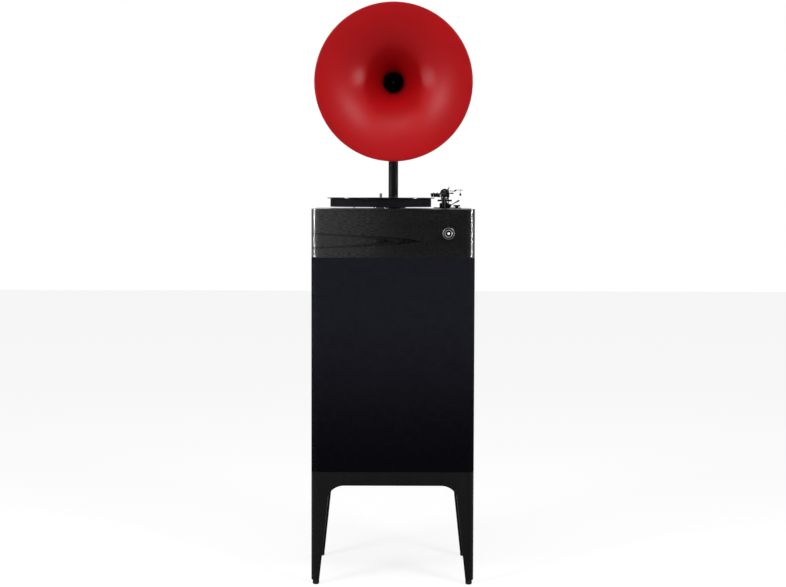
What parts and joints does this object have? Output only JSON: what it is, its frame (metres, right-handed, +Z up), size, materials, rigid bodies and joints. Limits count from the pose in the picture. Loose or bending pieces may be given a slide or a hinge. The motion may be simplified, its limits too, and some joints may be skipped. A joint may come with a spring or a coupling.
{
  "type": "turntable",
  "caption": "Floor-standing belt-drive turntable on a cloth-wrapped loudspeaker cabinet with tapered legs; a red horn on a gooseneck pole stands behind the platter.",
  "frame": {"origin": "on the floor, under the middle of the cabinet", "axes": "+X to the right seen from the front, +Y to the back, +Z up"},
  "size_m": [0.446, 0.427, 1.5931],
  "materials": {
    "black_stained_oak": "black stained open-pore oak, satin",
    "oak_veneer": "black stained open-pore oak veneer, satin",
    "black_board": "black painted board",
    "bare_board": "plain fibreboard",
    "speaker_cloth": "dark woven loudspeaker cloth",
    "foot_plastic": "hard nylon",
    "plated_steel": "turned and polished",
    "black_fastener": "blackened",
    "driver_frame": "moulded",
    "paper_cone": "pressed pulp",
    "ferrite": "ground",
    "moulded_black": "moulded",
    "circuit_board": "solder mask",
    "copper_winding": "varnished winding",
    "knob_black": "turned, gloss black",
    "hub_plastic": "moulded",
    "platter_black": "turned, black anodised",
    "smoked_acrylic": "polished smoked acrylic",
    "belt_rubber": "ground flat",
    "brass": "turned",
    "arm_black": "black anodised",
    "carbon_tube": "carbon fibre, lacquered",
    "shell_aluminium": "satin anodised",
    "cartridge_plastic": "moulded",
    "weight_steel": "black nickel",
    "pole_enamel": "black powder coat, satin",
    "horn_red": "satin red lacquer on a fibre-reinforced bell"
  },
  "bodies": {
    "root": {"leg_front_left": "black_stained_oak", "leg_front_right": "black_stained_oak", "leg_rear_left": "black_stained_oak", "leg_rear_right": "black_stained_oak", "apron_front": "black_stained_oak", "apron_rear": "black_stained_oak", "apron_left": "black_stained_oak", "apron_right": "black_stained_oak", "plinth_frame": "oak_veneer", "plinth_top": "oak_veneer", "cabinet_carcass": "black_board", "rear_panel": "black_board", "baffle_board": "bare_board", "corner_braces": "bare_board", "grille_cloth": "speaker_cloth", "leg_glides": "foot_plastic", "stand_bolts": "plated_steel", "bearing_housing": "plated_steel", "motor": "plated_steel", "rear_screws": "black_fastener", "woofer_basket": "driver_frame", "tweeters": "driver_frame", "woofer_cone": "paper_cone", "woofer_magnet": "ferrite", "horn_driver": "ferrite", "bass_port": "moulded_black", "connector_plate": "moulded_black", "driver_housing": "moulded_black", "phase_plug": "moulded_black", "volume_pot": "moulded_black", "crossover_board": "circuit_board", "amplifier_board": "circuit_board", "power_transformer": "copper_winding", "knob_bezel": "knob_black", "drive_belt": "belt_rubber", "armboard": "arm_black", "arm_pillar": "arm_black", "lift_tower": "arm_black", "antiskate_bracket": "arm_black", "arm_rest": "arm_black", "pole_socket": "pole_enamel", "horn_pole": "pole_enamel", "horn_bell": "horn_red"},
    "platter_group": {"spindle": "plated_steel", "drive_hub": "hub_plastic", "platter": "platter_black", "platter_mat": "smoked_acrylic"},
    "motor_rotor": {"motor_pulley": "brass"},
    "arm_base": {"arm_yoke": "arm_black"},
    "arm": {"arm_tube": "carbon_tube", "headshell": "shell_aluminium", "cartridge": "cartridge_plastic"},
    "arm_weight": {"counterweight": "weight_steel"},
    "lift": {"lift_platform": "arm_black"},
    "lever": {"cue_lever": "arm_black"},
    "clip": {"rest_clip": "cartridge_plastic"},
    "skate_weight": {"antiskate_weight": "arm_black"},
    "speed_switch": {"speed_knob": "knob_black"},
    "volume": {"volume_knob": "knob_black"}
  },
  "joints": [
    {"name": "platter_spin", "type": "hinge", "parent": "root", "child": "platter_group", "pos_m": [-0.035, -0.025, 1.046], "axis": [0, 0, 1], "continuous": true},
    {"name": "motor_spin", "type": "hinge", "parent": "root", "child": "motor_rotor", "pos_m": [-0.11137, 0.05137, 1.031], "axis": [0, 0, 1], "continuous": true},
    {"name": "arm_swing", "type": "hinge", "parent": "root", "child": "arm_base", "pos_m": [0.147, 0.085, 1.051], "axis": [0, 0, 1], "range_deg": [-37, 0]},
    {"name": "arm_tilt", "type": "hinge", "parent": "arm_base", "child": "arm", "pos_m": [0.147, 0.085, 1.074], "axis": [0.9986, -0.0523, 0], "range_deg": [-12, 0]},
    {"name": "counterweight_travel", "type": "slide", "parent": "arm", "child": "arm_weight", "axis": [0.0523, 0.9986, 0], "range_m": [-0.004, 0.006]},
    {"name": "lift_raise", "type": "slide", "parent": "root", "child": "lift", "axis": [0, 0, 1], "range_m": [0, 0.0135]},
    {"name": "cue_turn", "type": "hinge", "parent": "root", "child": "lever", "pos_m": [0.1615, 0.053, 1.039], "axis": [0, -1, 0], "range_deg": [0, 60]},
    {"name": "clip_turn", "type": "hinge", "parent": "root", "child": "clip", "pos_m": [0.15022, 0.01073, 1.081], "axis": [-0.0523, -0.9986, 0], "range_deg": [0, 150]},
    {"name": "skate_weight_swing", "type": "hinge", "parent": "root", "child": "skate_weight", "pos_m": [0.192, 0.063, 1.0831], "axis": [1, 0, 0], "range_deg": [-30, 30]},
    {"name": "speed_turn", "type": "hinge", "parent": "root", "child": "speed_switch", "pos_m": [0.1805, 0.025, 1.036], "axis": [0, 0, 1], "range_deg": [-45, 45]},
    {"name": "volume_turn", "type": "hinge", "parent": "root", "child": "volume", "pos_m": [0.15, -0.2, 0.965], "axis": [0, -1, 0], "range_deg": [-150, 150]}
  ],
  "couplings": [
    {"joint": "motor_spin", "follows": "platter_spin", "ratio": 9.375},
    {"joint": "cue_turn", "follows": "lift_raise", "rad_per_m": 77.5}
  ]
}
